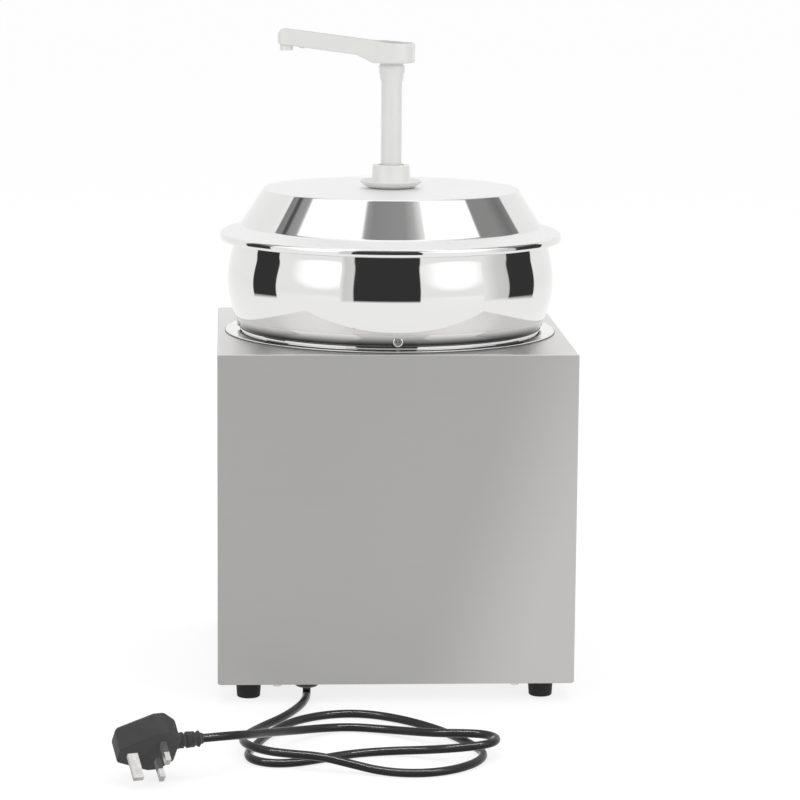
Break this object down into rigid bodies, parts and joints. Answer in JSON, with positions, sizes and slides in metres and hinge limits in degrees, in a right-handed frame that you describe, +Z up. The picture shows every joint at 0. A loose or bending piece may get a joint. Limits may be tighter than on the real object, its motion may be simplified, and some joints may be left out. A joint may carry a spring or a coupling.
{
  "type": "heated sauce dispenser",
  "caption": "Square stainless casing with a round water well, lidded inner pot, hand pump with a swivel spout arm, thermostat knob, rocker switch and mains cord.",
  "frame": {"origin": "on the ground, in the middle of the footprint of the casing and its knob", "axes": "+Z up, the pump's spout points to -X, the controls face +Y, the cord leaves at the back, -Y"},
  "size_m": [0.3802, 0.5723, 0.5572],
  "materials": {
    "brushed_steel": "fine brushed",
    "polished_steel": "mirror polished",
    "fastener_steel": "bright plated",
    "white_plastic": "satin moulded",
    "clear_silicone": "matte",
    "black_rubber": "matte",
    "black_plastic": "satin",
    "plug_plastic": "matte moulded",
    "cord_sheath": "matte",
    "sleeve_plastic": "matte",
    "lead_insulation": "matte",
    "brass": "plain",
    "cream_plastic": "matte",
    "cast_aluminium": "as cast",
    "element_steel": "dull",
    "copper": "dull",
    "dial_print": "satin printed",
    "fuse_ceramic": "glazed",
    "green_lens": "clear moulded",
    "amber_lens": "clear moulded"
  },
  "bodies": {
    "base": {"casing": "brushed_steel", "base_plate": "brushed_steel", "base_screws": "fastener_steel", "feet": "black_rubber", "foot_screws": "fastener_steel", "foot_nuts": "fastener_steel", "deck_ring": "polished_steel", "ring_nuts": "fastener_steel", "bowl_shell": "polished_steel", "collar_screws": "fastener_steel", "water_well": "brushed_steel", "heater_plate": "cast_aluminium", "heating_element": "element_steel", "heater_clamp": "brushed_steel", "heater_stud": "fastener_steel", "heater_nut": "fastener_steel", "thermal_cutout": "cream_plastic", "thermostat": "cream_plastic", "thermostat_bulb": "copper", "thermostat_screws": "fastener_steel", "dial_plate": "dial_print", "switch_body": "black_plastic", "lamp_bodies": "black_plastic", "power_lens": "green_lens", "heat_lens": "amber_lens", "cable_gland": "black_plastic", "gland_locknut": "black_plastic", "terminal_block": "cream_plastic", "terminal_screws": "brass", "internal_leads": "lead_insulation", "cord": "cord_sheath", "plug_body": "plug_plastic", "earth_pin": "brass", "line_pins": "brass", "pin_sleeves": "sleeve_plastic", "fuse_cover": "plug_plastic", "plug_fuse": "fuse_ceramic"},
    "pot": {"inner_pot": "brushed_steel"},
    "lid_and_barrel": {"lid": "polished_steel", "pump_hub": "white_plastic", "hub_gasket": "clear_silicone", "hub_nut": "white_plastic", "pump_cylinder": "white_plastic", "dip_tube": "white_plastic", "inlet_cage": "white_plastic", "return_spring": "fastener_steel"},
    "inlet_ball": {"inlet_ball": "fastener_steel"},
    "piston_set": {"piston": "white_plastic", "piston_seal": "clear_silicone"},
    "head_and_stem": {"pump_stem": "white_plastic", "stop_pin": "fastener_steel", "piston_nut": "white_plastic", "stem_collar": "white_plastic", "pump_head": "white_plastic", "spout_tip": "white_plastic"},
    "outlet_ball": {"outlet_ball": "fastener_steel"},
    "knob": {"thermostat_knob": "black_plastic", "knob_shaft": "fastener_steel"},
    "switch_key": {"switch_key": "black_plastic"}
  },
  "joints": [
    {"name": "pot_lift", "type": "slide", "parent": "base", "child": "pot", "axis": [0, 0, 1], "range_m": [0, 0.3]},
    {"name": "lid_lift", "type": "slide", "parent": "pot", "child": "lid_and_barrel", "axis": [0, 0, 1], "range_m": [0, 0.25]},
    {"name": "inlet_ball_lift", "type": "slide", "parent": "lid_and_barrel", "child": "inlet_ball", "axis": [0, 0, 1], "range_m": [0, 0.003]},
    {"name": "pump_stroke", "type": "slide", "parent": "lid_and_barrel", "child": "piston_set", "axis": [0, 0, -1], "range_m": [0, 0.065], "stiffness_N_per_m": 160, "springref_m": -0.04, "deforming": ["return_spring"]},
    {"name": "head_turn", "type": "hinge", "parent": "piston_set", "child": "head_and_stem", "pos_m": [0, -0.0096, 0.5], "axis": [0, 0, 1], "continuous": true},
    {"name": "outlet_ball_lift", "type": "slide", "parent": "head_and_stem", "child": "outlet_ball", "axis": [0, 0, 1], "range_m": [0, 0.003]},
    {"name": "knob_turn", "type": "hinge", "parent": "base", "child": "knob", "pos_m": [0.062, 0.1404, 0.079], "axis": [0, -1, 0], "range_deg": [0, 270]},
    {"name": "key_rock", "type": "hinge", "parent": "base", "child": "switch_key", "pos_m": [-0.062, 0.1404, 0.079], "axis": [1, 0, 0], "range_deg": [0, 20]}
  ]
}
